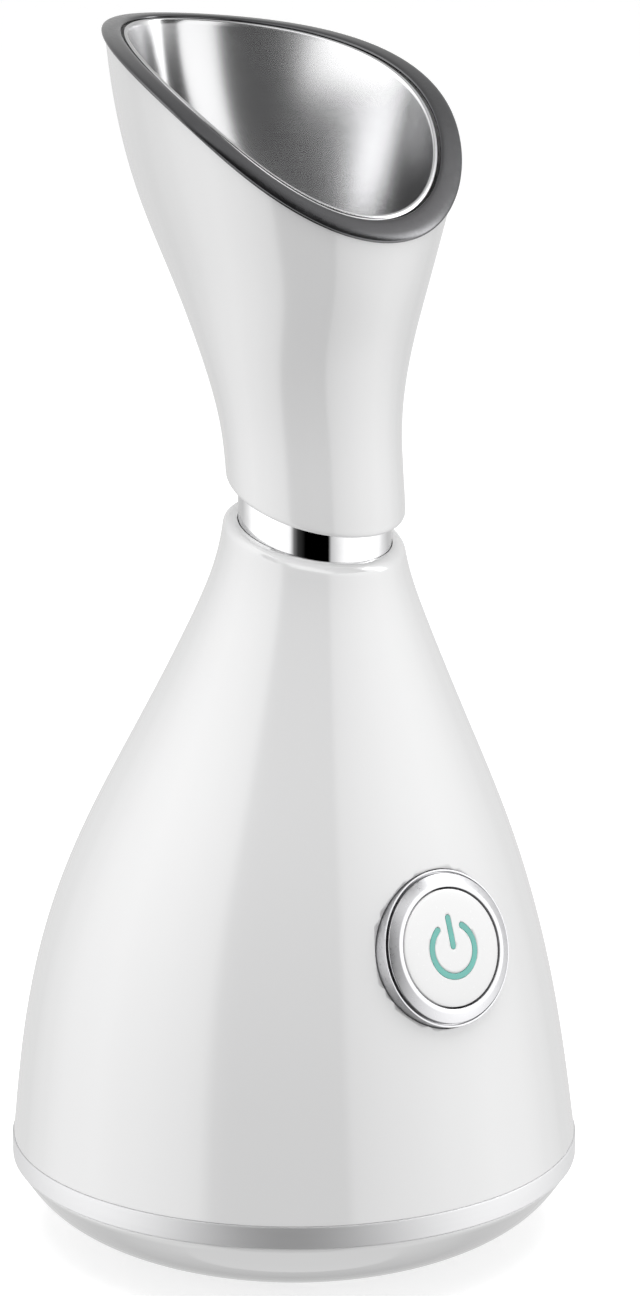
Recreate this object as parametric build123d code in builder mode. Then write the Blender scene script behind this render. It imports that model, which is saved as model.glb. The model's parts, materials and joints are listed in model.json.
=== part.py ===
from build123d import *
from math import cos, pi, radians, sin
import os

os.makedirs("parts", exist_ok=True)

# Facial steamer, in millimetres. +Z is up, the button faces -Y, and Z = 0 is the table.
# The whole outside follows from the base diameter, the neck and the mouth of the horn.

# ---- driving dimensions of the base ----
BASE_RADIUS = 62.5
FOOT_HEIGHT = 1.0
FOOT_RADIUS = 4.5
FOOT_PITCH_RADIUS = 31.5
FOOT_POCKET = 0.8
BASE_SCREW_PITCH_RADIUS = 22.0
TRAY_FLOOR = 2.6
TRAY_FOOT_RADIUS = 42.0
BAND_BOTTOM = 16.7
BAND_HEIGHT = 5.0
BAND_TOP = BAND_BOTTOM + BAND_HEIGHT
BAND_WALL = 1.6
SHELL_WALL = 2.4
TRAY_LIP_HEIGHT = BAND_TOP - 0.2

# ---- driving dimensions of the bell-shaped body: height, radius, forward lean ----
BODY_SECTIONS = [
    (BAND_TOP, 62.2, 0.0),
    (47.0, 58.9, -0.6),
    (72.0, 53.2, -0.2),
    (94.0, 45.2, 1.4),
    (116.0, 35.1, 3.4),
    (137.0, 25.6, 5.1),
    (151.0, 20.5, 6.0),
    (170.0, 18.6, 7.2),
]
BODY_TOP_HEIGHT = 157.4
BODY_TOP_SLOPE = 15.0
BODY_TOP_ROUND = 1.9

# ---- driving dimensions of the neck ----
NECK_Y = -7.3
COLLAR_RADIUS = 16.4
COLLAR_BORE = 15.4
COLLAR_BOTTOM = 142.0
COLLAR_TOP = 176.0
FIT_GAP = 0.1

# ---- driving dimensions of the head: height, half length, half width, centre in Y, egg taper ----
HEAD_SECTIONS = [
    (150.0, 18.9, 18.9, -8.4, 0.0),
    (165.0, 18.9, 18.9, -7.6, 0.0),
    (180.0, 19.4, 19.3, -5.9, 0.0),
    (195.0, 23.6, 21.7, -3.0, 0.06),
    (210.0, 31.3, 24.6, 0.2, 0.12),
    (225.0, 38.0, 28.7, 3.5, 0.17),
    (243.0, 43.6, 33.0, 6.1, 0.24),
    (262.0, 45.2, 36.0, 8.4, 0.31),
    (272.0, 45.4, 36.9, 9.2, 0.34),
]
HEAD_WALL = 2.0
HEAD_BOTTOM_HEIGHT = 164.9
HEAD_BOTTOM_SLOPE = 18.8
RIM_PROFILE = [
    (-46.0, 209.0),
    (-26.3, 229.3),
    (-12.0, 242.6),
    (3.0, 251.8),
    (20.0, 257.9),
    (38.0, 261.3),
    (62.0, 263.3),
]
RIM_TRIM_DEPTH = 0.7
RIM_TRIM_WIDTH = 4.0
RIM_TRIM_PROUD = 0.8
RIM_TRIM_RISE = 0.6
RIM_TRIM_ROUND = 0.4
LINER_INSET = 4.5
LINER_WALL = 1.0
LINER_DROP = 0.1
HORN_FLOOR = 188.0
HORN_THROAT_RADIUS = 11.0
FLOOR_THICKNESS = 1.5
SPIGOT_RADIUS = COLLAR_BORE - 0.4
SPIGOT_BORE = 12.6
SPIGOT_BOTTOM = 153.0
FLANGE_TOP = COLLAR_TOP + 2.0

# ---- driving dimensions of the button ----
BUTTON_HEIGHT = 75.7
BUTTON_Y = -53.8
BUTTON_TILT = 17.5
BEZEL_RADIUS = 16.5
BEZEL_SHOULDER_RADIUS = 16.0
BEZEL_SHOULDER_DEPTH = 1.4
BEZEL_FALL = 0.8
BEZEL_BORE = 12.7
CAP_RADIUS = 12.3
CAP_DOME = 0.8
CAP_THICKNESS = 1.8
CAP_SKIRT = 4.2
GLYPH_RADIUS = 5.6
GLYPH_STROKE = 1.2
GLYPH_BAR_LENGTH = 7.2
GLYPH_BAR_RISE = 3.3
GLYPH_RING_RISE = -0.4
GLYPH_DEPTH = 0.4
BUTTON_TRAVEL = 0.8
HOUSING_DEPTH = 15.0
HOUSING_START = 9.0

# ---- driving dimensions of the power inlet ----
INLET_WIDTH = 22.0
INLET_HEIGHT = 14.0
INLET_FACE_Y = 59.8
INLET_DEPTH = 13.0
INLET_Z = 35.0
SOCKET_DEPTH = 9.0
PIN_SPREAD = 4.4
PIN_RADIUS = 1.2

# ---- driving dimensions of the water and steam path ----
CHASSIS_BOTTOM = 24.0
CHASSIS_THICKNESS = 2.4
CHASSIS_TOP = CHASSIS_BOTTOM + CHASSIS_THICKNESS
HEATER_BOTTOM = CHASSIS_TOP + 6.0
BOILER_BOTTOM = HEATER_BOTTOM + 4.0
BOILER_RADIUS = 20.0
BOILER_TOP = BOILER_BOTTOM + 22.0
COVER_TOP = BOILER_TOP + 1.0 + 3.0
TANK_BOTTOM = 84.0
TANK_TOP = COLLAR_BOTTOM - 1.5
TANK_RADIUS = 26.0
TANK_WALL = 1.6
PIPE_RADIUS = 4.0
PIPE_BORE = 2.8
PIPE_TOP = 166.0
HOSE_X = 13.0

# ---- driving dimensions of the control board ----
BOARD_Y = 31.0
BOARD_BOTTOM = CHASSIS_TOP + 4.0
BOARD_TOP = BOARD_BOTTOM + 1.6
BOARD_POSTS = [(-22.0, 22.0), (22.0, 22.0), (-22.0, 40.0), (22.0, 40.0)]


def head_level(height, half_length, half_width, centre, taper, inset):
    """One egg-shaped level of the head, drawn inwards by inset."""
    points = []
    for step in range(24):
        angle = 2 * pi * step / 24
        across = (half_width - inset) * sin(angle) * (1 - taper * cos(angle))
        along = centre + (half_length - inset) * cos(angle)
        points.append((across, along))
    with BuildSketch(Plane.XY.offset(height)) as level:
        with BuildLine():
            Spline(*points, periodic=True)
        make_face()
    return level.sketch


def head_solid(inset, mode=Mode.ADD):
    """Adds or cuts the whole head, drawn inwards by inset."""
    loft([head_level(*section, inset) for section in HEAD_SECTIONS], mode=mode)


def body_solid(inset, highest, mode=Mode.ADD):
    """Adds or cuts the bell-shaped body, up to the level at highest."""
    levels = []
    for height, radius, lean in BODY_SECTIONS:
        if height <= highest:
            with BuildSketch(Plane.XY.offset(height)) as level:
                with Locations((0, -lean)):
                    Circle(radius - inset)
            levels.append(level.sketch)
    loft(levels, mode=mode)


def cut_above_rim(lowered):
    """Cuts away everything above the side profile of the rim, lowered by a distance."""
    points = [(y, z - lowered) for y, z in RIM_PROFILE]
    with BuildSketch(Plane.YZ.offset(-60)) as region:
        with BuildLine():
            rim = Spline(*points)
            Polyline(rim @ 1, (62.0, 300.0), (-46.0, 300.0), rim @ 0)
        make_face()
    extrude(region.sketch, amount=120, mode=Mode.SUBTRACT)


def cut_below_rim(lowered):
    """Cuts away everything below the side profile of the rim, lowered by a distance."""
    points = [(y, z - lowered) for y, z in RIM_PROFILE]
    with BuildSketch(Plane.YZ.offset(-60)) as region:
        with BuildLine():
            rim = Spline(*points)
            Polyline(rim @ 1, (62.0, 100.0), (-46.0, 100.0), rim @ 0)
        make_face()
    extrude(region.sketch, amount=120, mode=Mode.SUBTRACT)


def on_circle(radius, angles):
    """Spots on a circle about the base axis, at angles in degrees."""
    return [(radius * cos(radians(angle)), radius * sin(radians(angle))) for angle in angles]


def slanted_plane(height, slope):
    """A plane through the neck axis at a height, lower at the front by the slope."""
    return Plane(
        origin=(0, NECK_Y, height),
        x_dir=(1, 0, 0),
        z_dir=(0, -sin(radians(slope)), cos(radians(slope))),
    )


def button_plane(depth=0.0):
    """A plane across the button's axis, at a depth behind the face of the cap."""
    tilt = radians(BUTTON_TILT)
    return Plane(
        origin=(0, BUTTON_Y + depth * cos(tilt), BUTTON_HEIGHT - depth * sin(tilt)),
        x_dir=(1, 0, 0),
        z_dir=(0, -cos(tilt), sin(tilt)),
    )


def button_turned(profile, mode=Mode.ADD):
    """Adds, cuts or keeps a piece turned about the button's axis from (radius, height) pairs."""
    tilt = radians(BUTTON_TILT)
    middle = (0, BUTTON_Y, BUTTON_HEIGHT)
    across = Plane(origin=middle, x_dir=(1, 0, 0), z_dir=(0, -sin(tilt), -cos(tilt)))
    with BuildSketch(across) as outline:
        with BuildLine():
            Polyline(*profile, close=True)
        make_face()
    revolve(outline.sketch, axis=Axis(middle, (0, -cos(tilt), sin(tilt))), mode=mode)


def dome_profile(radius, bottom):
    """Half the outline of a cap: a shallow dome over a straight side down to bottom."""
    arch = [(radius * sin(pi * step / 24), CAP_DOME * cos(pi * step / 24)) for step in range(13)]
    return [(0.0, bottom), *arch, (radius, bottom)]


def disc(plane, radius, thickness, bore=0.0, mode=Mode.ADD):
    """Adds or cuts a disc or ring that stands on a plane."""
    with BuildSketch(plane) as outline:
        Circle(radius)
        if bore > 0:
            Circle(bore, mode=Mode.SUBTRACT)
    extrude(outline.sketch, amount=thickness, mode=mode)


def inlet_plane(y, x=0.0):
    """An upright plane at the back of the base that faces forward into the inlet."""
    return Plane(origin=(x, y, INLET_Z), x_dir=(1, 0, 0), z_dir=(0, -1, 0))


def neck_plane(height, x=0.0):
    """A level plane at a height, centred on the neck axis."""
    return Plane(origin=(x, NECK_Y, height))


# ==== base ====

FOOT_SPOTS = on_circle(FOOT_PITCH_RADIUS, (45, 135, 225, 315))
SCREW_SPOTS = on_circle(BASE_SCREW_PITCH_RADIUS, (90, 210, 330))

# Moulded bottom tray, curving in to a smaller foot, with pockets for the rubber feet
with BuildPart() as base_tray:
    with BuildSketch(Plane.XZ):
        with BuildLine():
            Polyline(
                (0, FOOT_HEIGHT + TRAY_FLOOR),
                (0, FOOT_HEIGHT),
                (TRAY_FOOT_RADIUS, FOOT_HEIGHT),
            )
            Spline((TRAY_FOOT_RADIUS, FOOT_HEIGHT), (50.2, 4.7), (57.2, 9.9), (61.9, BAND_BOTTOM))
            Polyline(
                (61.9, BAND_BOTTOM),
                (60.6, BAND_BOTTOM),
                (60.6, TRAY_LIP_HEIGHT),
                (58.4, TRAY_LIP_HEIGHT),
                (58.4, BAND_BOTTOM + 0.6),
            )
            Spline(
                (58.4, BAND_BOTTOM + 0.6),
                (55.0, 12.2),
                (49.0, 7.4),
                (TRAY_FOOT_RADIUS - 1.0, FOOT_HEIGHT + TRAY_FLOOR),
            )
            Line((TRAY_FOOT_RADIUS - 1.0, FOOT_HEIGHT + TRAY_FLOOR), (0, FOOT_HEIGHT + TRAY_FLOOR))
        make_face()
    revolve(axis=Axis.Z)
    with BuildSketch(Plane.XY.offset(FOOT_HEIGHT)):
        with Locations(*FOOT_SPOTS):
            Circle(FOOT_RADIUS + FIT_GAP)
    extrude(amount=FOOT_POCKET, mode=Mode.SUBTRACT)
    with BuildSketch(Plane.XY.offset(FOOT_HEIGHT)):
        with Locations(*SCREW_SPOTS):
            Circle(1.7)
    extrude(amount=6.0, mode=Mode.SUBTRACT)
    with BuildSketch(Plane.XY.offset(FOOT_HEIGHT)):
        with Locations(*SCREW_SPOTS):
            Circle(3.1)
    extrude(amount=1.2, mode=Mode.SUBTRACT)
base_tray.part.label = "base_tray"
export_step(base_tray.part, "parts/base_tray.step")

# Four soft feet, pressed into the pockets of the tray
for index, (foot_x, foot_y) in enumerate(FOOT_SPOTS):
    with BuildPart() as rubber_foot:
        disc(Plane(origin=(foot_x, foot_y, 0)), FOOT_RADIUS, FOOT_HEIGHT + FOOT_POCKET)
        fillet(rubber_foot.edges().group_by(Axis.Z)[0], 0.6)
    rubber_foot.part.label = f"rubber_foot_{index + 1}"
    export_step(rubber_foot.part, f"parts/rubber_foot_{index + 1}.step")

# Brushed metal band between the tray and the body
with BuildPart() as base_band:
    disc(Plane.XY.offset(BAND_BOTTOM), BASE_RADIUS, BAND_HEIGHT, BASE_RADIUS - BAND_WALL)
    fillet(base_band.edges().filter_by(GeomType.CIRCLE).sort_by(SortBy.RADIUS)[-2:], 0.3)
base_band.part.label = "base_band"
export_step(base_band.part, "parts/base_band.step")

# Inner floor that carries the boiler and the boards, on three screw posts
with BuildPart() as chassis:
    disc(Plane.XY.offset(CHASSIS_BOTTOM), 58.6, CHASSIS_THICKNESS)
    with BuildSketch(Plane.XY.offset(FOOT_HEIGHT + TRAY_FLOOR)):
        with Locations(*SCREW_SPOTS):
            Circle(3.6)
    extrude(amount=CHASSIS_BOTTOM - FOOT_HEIGHT - TRAY_FLOOR)
    with BuildSketch(Plane.XY.offset(CHASSIS_TOP)):
        with Locations(*BOARD_POSTS):
            Circle(2.4)
    extrude(amount=BOARD_BOTTOM - CHASSIS_TOP)
    with BuildSketch(Plane.XY.offset(FOOT_HEIGHT + TRAY_FLOOR)):
        with Locations(*SCREW_SPOTS):
            Circle(1.3)
    extrude(amount=16.0, mode=Mode.SUBTRACT)
    with BuildSketch(Plane.XY.offset(BOARD_BOTTOM - 3.4)):
        with Locations(*BOARD_POSTS):
            Circle(0.8)
    extrude(amount=4.0, mode=Mode.SUBTRACT)
chassis.part.label = "chassis"
export_step(chassis.part, "parts/chassis.step")

# Three screws that hold the tray to the chassis from below
for index, (screw_x, screw_y) in enumerate(SCREW_SPOTS):
    with BuildPart() as base_screw:
        disc(Plane(origin=(screw_x, screw_y, FOOT_HEIGHT + 0.2)), 2.9, 1.0)
        disc(Plane(origin=(screw_x, screw_y, FOOT_HEIGHT + 1.2)), 1.25, 13.0)
        with BuildSketch(Plane(origin=(screw_x, screw_y, FOOT_HEIGHT + 0.2))):
            Rectangle(3.2, 0.7)
            Rectangle(0.7, 3.2)
        extrude(amount=0.7, mode=Mode.SUBTRACT)
    base_screw.part.label = f"base_screw_{index + 1}"
    export_step(base_screw.part, f"parts/base_screw_{index + 1}.step")

# ==== power inlet at the back ====

# Socket for a two-pole lead, let into the back of the body
with BuildPart() as power_inlet:
    with BuildSketch(inlet_plane(INLET_FACE_Y)):
        RectangleRounded(INLET_WIDTH, INLET_HEIGHT, 2.0)
    extrude(amount=INLET_DEPTH)
    with BuildSketch(inlet_plane(INLET_FACE_Y)):
        SlotOverall(17.6, 9.2)
    extrude(amount=SOCKET_DEPTH, mode=Mode.SUBTRACT)
    with BuildSketch(inlet_plane(INLET_FACE_Y)):
        with Locations((-PIN_SPREAD, 0), (PIN_SPREAD, 0)):
            Circle(PIN_RADIUS)
    extrude(amount=INLET_DEPTH, mode=Mode.SUBTRACT)
power_inlet.part.label = "power_inlet"
export_step(power_inlet.part, "parts/power_inlet.step")

for side, pin_x in (("left", -PIN_SPREAD), ("right", PIN_SPREAD)):
    with BuildPart() as inlet_pin:
        with BuildSketch(inlet_plane(INLET_FACE_Y - 1.5, pin_x)):
            Circle(PIN_RADIUS)
        extrude(amount=INLET_DEPTH + 1.5)
        fillet(inlet_pin.edges().group_by(Axis.Y)[-1], 0.7)
    inlet_pin.part.label = f"inlet_pin_{side}"
    export_step(inlet_pin.part, f"parts/inlet_pin_{side}.step")

# ==== body ====

# White bell-shaped outer body, open below, with a bore for the collar and one for the button
with BuildPart() as body_shell:
    body_solid(0.0, 200.0)
    with BuildSketch(slanted_plane(BODY_TOP_HEIGHT, BODY_TOP_SLOPE)):
        Rectangle(90, 90)
    extrude(amount=60, mode=Mode.SUBTRACT)
    rim_edges = body_shell.edges().group_by(Axis.Z)[-1]
    fillet(rim_edges, BODY_TOP_ROUND)
    body_solid(SHELL_WALL, 140.0, mode=Mode.SUBTRACT)
    disc(neck_plane(130.0), COLLAR_RADIUS + FIT_GAP, 60.0, mode=Mode.SUBTRACT)
    disc(button_plane(20.0), BEZEL_RADIUS + 0.05, 30.0, mode=Mode.SUBTRACT)
    with BuildSketch(inlet_plane(40.0)):
        RectangleRounded(INLET_WIDTH + 0.4, INLET_HEIGHT + 0.4, 2.2)
    extrude(amount=-30.0, mode=Mode.SUBTRACT)
body_shell.part.label = "body_shell"
export_step(body_shell.part, "parts/body_shell.step")

# Polished collar that the head slides onto, standing on the top of the water tank
with BuildPart() as neck_collar:
    disc(neck_plane(COLLAR_BOTTOM), COLLAR_RADIUS, COLLAR_TOP - COLLAR_BOTTOM, COLLAR_BORE)
    fillet(neck_collar.edges().group_by(Axis.Z)[-1], 0.4)
neck_collar.part.label = "neck_collar"
export_step(neck_collar.part, "parts/neck_collar.step")

# ==== water tank and steam path, on the neck axis ====

# Clear tank that is filled through the collar once the head is lifted off
with BuildPart() as water_tank:
    with BuildSketch(Plane.XZ.offset(-NECK_Y)):
        with BuildLine():
            Polyline((0, TANK_BOTTOM), (TANK_RADIUS, TANK_BOTTOM), (TANK_RADIUS, 104.0))
            Spline((TANK_RADIUS, 104.0), (21.5, 122.0), (COLLAR_RADIUS, TANK_TOP - 4.5))
            Polyline(
                (COLLAR_RADIUS, TANK_TOP - 4.5),
                (COLLAR_RADIUS, TANK_TOP),
                (COLLAR_BORE, TANK_TOP),
                (COLLAR_BORE, TANK_TOP - 5.5),
            )
            Spline((COLLAR_BORE, TANK_TOP - 5.5), (19.6, 122.0), (TANK_RADIUS - TANK_WALL, 103.0))
            Polyline(
                (TANK_RADIUS - TANK_WALL, 103.0),
                (TANK_RADIUS - TANK_WALL, TANK_BOTTOM + TANK_WALL),
                (0, TANK_BOTTOM + TANK_WALL),
                (0, TANK_BOTTOM),
            )
        make_face()
    revolve(axis=Axis((0, NECK_Y, 0), (0, 0, 1)))
    disc(neck_plane(TANK_BOTTOM), PIPE_RADIUS + 1.5, TANK_WALL, mode=Mode.SUBTRACT)
    disc(neck_plane(TANK_BOTTOM, HOSE_X), 2.0, TANK_WALL, mode=Mode.SUBTRACT)
    disc(neck_plane(TANK_BOTTOM - 5.0, HOSE_X), 2.6, 5.0, 2.0)
water_tank.part.label = "water_tank"
export_step(water_tank.part, "parts/water_tank.step")

with BuildPart() as tank_gasket:
    disc(neck_plane(TANK_TOP), COLLAR_RADIUS, COLLAR_BOTTOM - TANK_TOP, COLLAR_BORE)
tank_gasket.part.label = "tank_gasket"
export_step(tank_gasket.part, "parts/tank_gasket.step")

# Straight steam pipe from the boiler, up through the tank to the collar
with BuildPart() as steam_pipe:
    disc(neck_plane(COVER_TOP), PIPE_RADIUS, PIPE_TOP - COVER_TOP, PIPE_BORE)
steam_pipe.part.label = "steam_pipe"
export_step(steam_pipe.part, "parts/steam_pipe.step")

with BuildPart() as pipe_seal:
    disc(neck_plane(TANK_BOTTOM - 0.6), PIPE_RADIUS + 1.5, TANK_WALL + 0.6, PIPE_RADIUS)
    disc(neck_plane(TANK_BOTTOM + TANK_WALL), PIPE_RADIUS + 2.4, 1.0, PIPE_RADIUS)
pipe_seal.part.label = "pipe_seal"
export_step(pipe_seal.part, "parts/pipe_seal.step")

# Vented cap that turns the pipe's mouth into several steam holes
with BuildPart() as steam_outlet:
    disc(neck_plane(PIPE_TOP - 6.0), PIPE_RADIUS + 2.2, 6.0, PIPE_RADIUS)
    disc(neck_plane(PIPE_TOP), PIPE_RADIUS + 2.2, 1.6)
    with BuildSketch(neck_plane(PIPE_TOP)) as vents:
        with PolarLocations(1.7, 5):
            Circle(0.6)
    extrude(vents.sketch, amount=1.6, mode=Mode.SUBTRACT)
    top_edges = steam_outlet.edges().filter_by(GeomType.CIRCLE).group_by(Axis.Z)[-1]
    fillet(top_edges.sort_by(SortBy.RADIUS)[-1], 0.8)
steam_outlet.part.label = "steam_outlet"
export_step(steam_outlet.part, "parts/steam_outlet.step")

# Boiler: insulator, heater plate, open cup, gasket and cover
with BuildPart() as boiler_stand:
    disc(neck_plane(CHASSIS_TOP), BOILER_RADIUS, HEATER_BOTTOM - CHASSIS_TOP, BOILER_RADIUS - 3.0)
boiler_stand.part.label = "boiler_stand"
export_step(boiler_stand.part, "parts/boiler_stand.step")

with BuildPart() as heating_element:
    disc(neck_plane(HEATER_BOTTOM), BOILER_RADIUS - 1.0, BOILER_BOTTOM - HEATER_BOTTOM, 7.0)
heating_element.part.label = "heating_element"
export_step(heating_element.part, "parts/heating_element.step")

with BuildPart() as boiler_cup:
    disc(neck_plane(BOILER_BOTTOM), BOILER_RADIUS, BOILER_TOP - BOILER_BOTTOM)
    disc(neck_plane(BOILER_BOTTOM + 2.0), BOILER_RADIUS - 2.0, 30.0, mode=Mode.SUBTRACT)
boiler_cup.part.label = "boiler_cup"
export_step(boiler_cup.part, "parts/boiler_cup.step")

with BuildPart() as boiler_gasket:
    disc(neck_plane(BOILER_TOP), BOILER_RADIUS, 1.0, BOILER_RADIUS - 2.0)
boiler_gasket.part.label = "boiler_gasket"
export_step(boiler_gasket.part, "parts/boiler_gasket.step")

with BuildPart() as boiler_cover:
    disc(neck_plane(BOILER_TOP + 1.0), BOILER_RADIUS, 3.0)
    disc(neck_plane(BOILER_TOP + 1.0), PIPE_BORE, 3.0, mode=Mode.SUBTRACT)
    disc(neck_plane(BOILER_TOP + 1.0, HOSE_X), 2.0, 3.0, mode=Mode.SUBTRACT)
    disc(neck_plane(COVER_TOP, HOSE_X), 2.6, 5.0, 2.0)
    disc(neck_plane(COVER_TOP), PIPE_RADIUS + 2.0, 5.0, PIPE_RADIUS)
boiler_cover.part.label = "boiler_cover"
export_step(boiler_cover.part, "parts/boiler_cover.step")

# Short silicone hose that feeds water from the tank to the boiler
with BuildPart() as feed_hose:
    disc(neck_plane(COVER_TOP, HOSE_X), 3.6, TANK_BOTTOM - COVER_TOP, 2.6)
feed_hose.part.label = "feed_hose"
export_step(feed_hose.part, "parts/feed_hose.step")

# Thermostat under the heater, and the thermal fuse strapped to the cup
with BuildPart() as thermostat:
    disc(neck_plane(BOILER_BOTTOM - 7.0), 6.5, 7.0)
thermostat.part.label = "thermostat"
export_step(thermostat.part, "parts/thermostat.step")

with BuildPart() as thermal_fuse:
    with BuildSketch(Plane(origin=(BOILER_RADIUS, NECK_Y, BOILER_BOTTOM + 10.0), z_dir=(1, 0, 0))):
        RectangleRounded(6.0, 12.0, 1.5)
    extrude(amount=4.0)
    disc(neck_plane(BOILER_BOTTOM), BOILER_RADIUS + FIT_GAP, 30.0, mode=Mode.SUBTRACT)
thermal_fuse.part.label = "thermal_fuse"
export_step(thermal_fuse.part, "parts/thermal_fuse.step")

# ==== electronics ====

with BuildPart() as control_board:
    with BuildSketch(Plane(origin=(0, BOARD_Y, BOARD_BOTTOM))):
        Rectangle(52.0, 26.0)
        with Locations(*[(x, y - BOARD_Y) for x, y in BOARD_POSTS]):
            Circle(1.1, mode=Mode.SUBTRACT)
    extrude(amount=1.6)
control_board.part.label = "control_board"
export_step(control_board.part, "parts/control_board.step")

for index, (screw_x, screw_y) in enumerate(BOARD_POSTS):
    with BuildPart() as board_screw:
        disc(Plane(origin=(screw_x, screw_y, BOARD_BOTTOM - 3.0)), 0.75, 4.6)
        disc(Plane(origin=(screw_x, screw_y, BOARD_TOP)), 1.9, 1.1)
    board_screw.part.label = f"board_screw_{index + 1}"
    export_step(board_screw.part, f"parts/board_screw_{index + 1}.step")

with BuildPart() as relay:
    with BuildSketch(Plane(origin=(-8.0, 30.0, BOARD_TOP))):
        Rectangle(15.0, 18.0)
    extrude(amount=14.0)
    fillet(relay.edges().group_by(Axis.Z)[-1], 0.6)
relay.part.label = "relay"
export_step(relay.part, "parts/relay.step")

with BuildPart() as filter_capacitor:
    disc(Plane(origin=(12.0, 30.0, BOARD_TOP)), 5.0, 13.0)
    fillet(filter_capacitor.edges().group_by(Axis.Z)[-1], 0.6)
filter_capacitor.part.label = "filter_capacitor"
export_step(filter_capacitor.part, "parts/filter_capacitor.step")

# High-voltage ion module beside the boiler
with BuildPart() as ionizer_module:
    with BuildSketch(Plane(origin=(-40.0, 0, CHASSIS_TOP))):
        RectangleRounded(16.0, 26.0, 1.5)
    extrude(amount=12.0)
    fillet(ionizer_module.edges().group_by(Axis.Z)[-1], 1.0)
ionizer_module.part.label = "ionizer_module"
export_step(ionizer_module.part, "parts/ionizer_module.step")

# Two mains leads from the inlet pins to the board
for side, pin_x in (("left", -PIN_SPREAD), ("right", PIN_SPREAD)):
    lead_start = INLET_FACE_Y - INLET_DEPTH - 3.0
    with BuildPart() as mains_lead:
        with BuildLine() as lead_path:
            FilletPolyline(
                (pin_x, lead_start, INLET_Z),
                (pin_x, lead_start - 3.5, INLET_Z),
                (pin_x, lead_start - 3.5, BOARD_TOP),
                radius=2.0,
            )
        with BuildSketch(Plane(origin=lead_path.line @ 0, z_dir=lead_path.line % 0)):
            Circle(0.9)
        sweep(path=lead_path.line)
    mains_lead.part.label = f"mains_lead_{side}"
    export_step(mains_lead.part, f"parts/mains_lead_{side}.step")

# ==== button ====

# Satin metal ring around the button, proud of the body with a stepped shoulder
with BuildPart() as button_bezel:
    button_turned(
        [
            (BEZEL_BORE, -HOUSING_START),
            (BEZEL_BORE, 0.2),
            (BEZEL_BORE + 1.0, 0.2),
            (BEZEL_SHOULDER_RADIUS, -BEZEL_FALL),
            (BEZEL_SHOULDER_RADIUS, -BEZEL_SHOULDER_DEPTH),
            (BEZEL_RADIUS, -BEZEL_SHOULDER_DEPTH),
            (BEZEL_RADIUS, -HOUSING_START),
        ]
    )
    ring_edges = button_bezel.edges().filter_by(GeomType.CIRCLE).sort_by(SortBy.RADIUS)
    fillet(ring_edges[0:2].sort_by(Axis.Y)[0], 0.2)
    fillet(ring_edges[3:5].sort_by(Axis.Y)[0], 0.3)
    fillet(ring_edges[-2:].sort_by(Axis.Y)[0], 0.2)
button_bezel.part.label = "button_bezel"
export_step(button_bezel.part, "parts/button_bezel.step")

with BuildPart() as button_housing:
    disc(button_plane(HOUSING_DEPTH), BEZEL_RADIUS, HOUSING_DEPTH - HOUSING_START, 12.0)
    disc(button_plane(HOUSING_DEPTH), BEZEL_RADIUS, 1.5)
button_housing.part.label = "button_housing"
export_step(button_housing.part, "parts/button_housing.step")

# Round button, its power glyph let into the face, and the plunger behind it
with BuildPart() as power_glyph:
    with BuildSketch(button_plane(GLYPH_DEPTH)):
        with BuildLine():
            CenterArc((0, GLYPH_RING_RISE), GLYPH_RADIUS, 125, 290)
        trace(line_width=GLYPH_STROKE)
        with Locations((0, GLYPH_BAR_RISE)):
            SlotOverall(GLYPH_BAR_LENGTH, GLYPH_STROKE, rotation=90)
    extrude(amount=GLYPH_DEPTH + 2.0)
    button_turned(dome_profile(CAP_RADIUS, -CAP_THICKNESS), mode=Mode.INTERSECT)
power_glyph.part.label = "power_glyph"
export_step(power_glyph.part, "parts/power_glyph.step")

with BuildPart() as button_cap:
    button_turned(dome_profile(CAP_RADIUS, -CAP_THICKNESS))
    disc(button_plane(CAP_SKIRT), CAP_RADIUS, CAP_SKIRT - CAP_THICKNESS, CAP_RADIUS - 1.4)
    add(power_glyph.part, mode=Mode.SUBTRACT)
button_cap.part.label = "button_cap"
export_step(button_cap.part, "parts/button_cap.step")

with BuildPart() as button_plunger:
    disc(button_plane(7.0), 2.2, 7.0 - CAP_THICKNESS)
    disc(button_plane(CAP_THICKNESS + 1.0), 6.0, 1.0)
button_plunger.part.label = "button_plunger"
export_step(button_plunger.part, "parts/button_plunger.step")

with BuildPart() as switch_board:
    disc(button_plane(HOUSING_DEPTH - 1.5), 11.9, 1.6)
switch_board.part.label = "switch_board"
export_step(switch_board.part, "parts/switch_board.step")

SWITCH_FACE = HOUSING_DEPTH - 3.1
with BuildPart() as tact_switch:
    with BuildSketch(button_plane(SWITCH_FACE)):
        Rectangle(6.0, 6.0)
    extrude(amount=3.4)
    disc(button_plane(SWITCH_FACE - 3.4), 1.7, 0.5)
tact_switch.part.label = "tact_switch"
export_step(tact_switch.part, "parts/tact_switch.step")

with BuildPart() as status_led:
    with BuildSketch(button_plane(SWITCH_FACE)):
        with Locations((0, 7.0)):
            Rectangle(3.0, 2.0)
    extrude(amount=1.2)
status_led.part.label = "status_led"
export_step(status_led.part, "parts/status_led.step")

# ==== head ====

# White flared outer shell of the head, cut slanted below and along the rim above
with BuildPart() as head_shell:
    head_solid(0.0)
    with BuildSketch(slanted_plane(HEAD_BOTTOM_HEIGHT, HEAD_BOTTOM_SLOPE)):
        Rectangle(120, 120)
    extrude(amount=-60, mode=Mode.SUBTRACT)
    fillet(head_shell.edges().group_by(Axis.Z)[0], 1.2)
    head_solid(HEAD_WALL, mode=Mode.SUBTRACT)
    disc(neck_plane(140.0), COLLAR_RADIUS + 0.4, FLANGE_TOP - 140.0, mode=Mode.SUBTRACT)
    cut_above_rim(RIM_TRIM_DEPTH)
head_shell.part.label = "head_shell"
export_step(head_shell.part, "parts/head_shell.step")

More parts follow.
